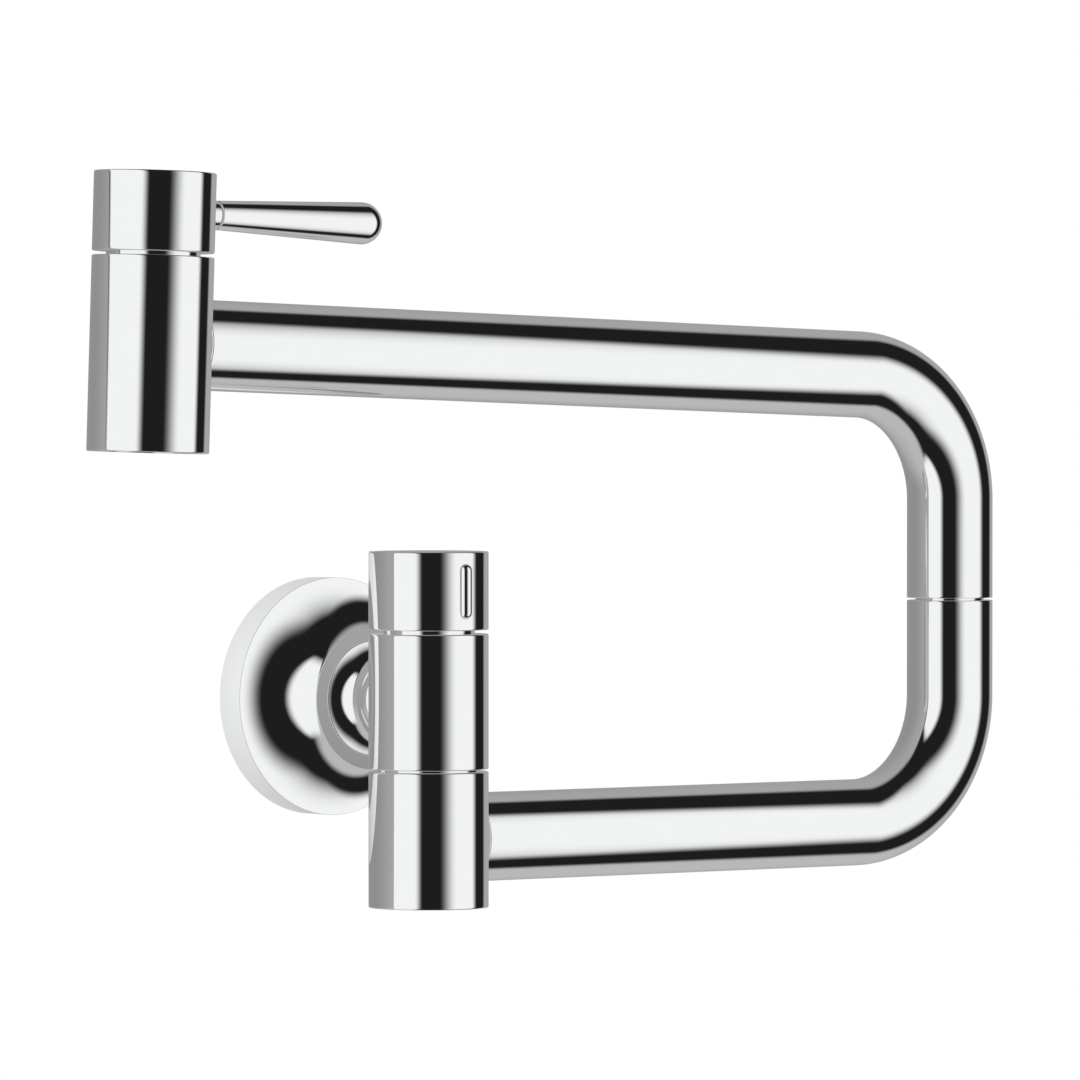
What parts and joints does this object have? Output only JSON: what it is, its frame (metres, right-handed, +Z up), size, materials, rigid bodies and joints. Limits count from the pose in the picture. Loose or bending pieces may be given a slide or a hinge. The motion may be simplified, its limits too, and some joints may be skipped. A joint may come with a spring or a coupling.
{
  "type": "pot filler",
  "caption": "Wall-mounted pot filler: round flange, column with shut-off knob, folding two-part tubular spout, outlet head with lever and aerator.",
  "frame": {"origin": "on the inlet nipple's axis, in the plane of the wall", "axes": "+X along the wall, the way the lower arm points at rest; +Y into the wall along the inlet; +Z up"},
  "size_m": [0.3314, 0.0895, 0.2135],
  "materials": {
    "chrome_plate": "bright chrome plate on polished brass",
    "bare_brass": "turned brass",
    "seal_rubber": "matt black seal rubber",
    "spring_steel": "bright stainless spring and screw steel",
    "disc_ceramic": "lapped ceramic",
    "white_acetal": "moulded acetal",
    "grey_acetal": "moulded grey acetal"
  },
  "bodies": {
    "wall_body": {"wall_flange": "chrome_plate", "flange_seal": "seal_rubber", "inlet_nipple": "bare_brass", "nipple_seal": "seal_rubber", "valve_body": "chrome_plate", "shutoff_cartridge": "white_acetal", "shutoff_cartridge_seal": "seal_rubber", "shutoff_fixed_disc": "disc_ceramic", "shutoff_retaining_nut": "chrome_plate", "swivel_stem": "bare_brass", "swivel_seals": "seal_rubber", "swivel_slide_ring": "chrome_plate", "swivel_clip": "spring_steel"},
    "shutoff_handle": {"shutoff_knob": "chrome_plate", "shutoff_marker": "chrome_plate", "shutoff_spindle": "bare_brass", "shutoff_moving_disc": "disc_ceramic", "shutoff_knob_screw": "spring_steel", "shutoff_spindle_seal": "seal_rubber"},
    "lower_arm": {"swivel_housing": "chrome_plate", "housing_cap": "chrome_plate", "housing_cap_seal": "seal_rubber", "lower_tube": "chrome_plate", "elbow_socket": "bare_brass", "elbow_slide_ring": "chrome_plate"},
    "upper_arm": {"elbow_spigot": "bare_brass", "elbow_seals": "seal_rubber", "elbow_clip": "spring_steel", "upper_tube": "chrome_plate", "outlet_body": "chrome_plate", "outlet_cartridge": "white_acetal", "outlet_cartridge_seal": "seal_rubber", "outlet_fixed_disc": "disc_ceramic", "outlet_retaining_nut": "chrome_plate", "aerator_housing": "grey_acetal", "aerator_insert": "white_acetal", "aerator_seal": "seal_rubber"},
    "outlet_lever": {"outlet_knob": "chrome_plate", "outlet_spindle": "bare_brass", "outlet_moving_disc": "disc_ceramic", "outlet_knob_screw": "spring_steel", "lever_neck": "chrome_plate", "lever_handle": "chrome_plate", "outlet_spindle_seal": "seal_rubber"}
  },
  "joints": [
    {"name": "base_swivel", "type": "hinge", "parent": "wall_body", "child": "lower_arm", "pos_m": [0, -0.055, 0], "axis": [0, 0, 1], "range_deg": [-180, 0]},
    {"name": "elbow_swivel", "type": "hinge", "parent": "lower_arm", "child": "upper_arm", "pos_m": [0.2, -0.055, 0], "axis": [0, 0, 1], "continuous": true},
    {"name": "shutoff_turn", "type": "hinge", "parent": "wall_body", "child": "shutoff_handle", "pos_m": [0, -0.055, 0], "axis": [0, 0, 1], "range_deg": [0, 90]},
    {"name": "outlet_turn", "type": "hinge", "parent": "upper_arm", "child": "outlet_lever", "pos_m": [-0.09982, -0.055, 0.10397], "axis": [0.0349, 0, 0.9994], "range_deg": [0, 90]}
  ]
}
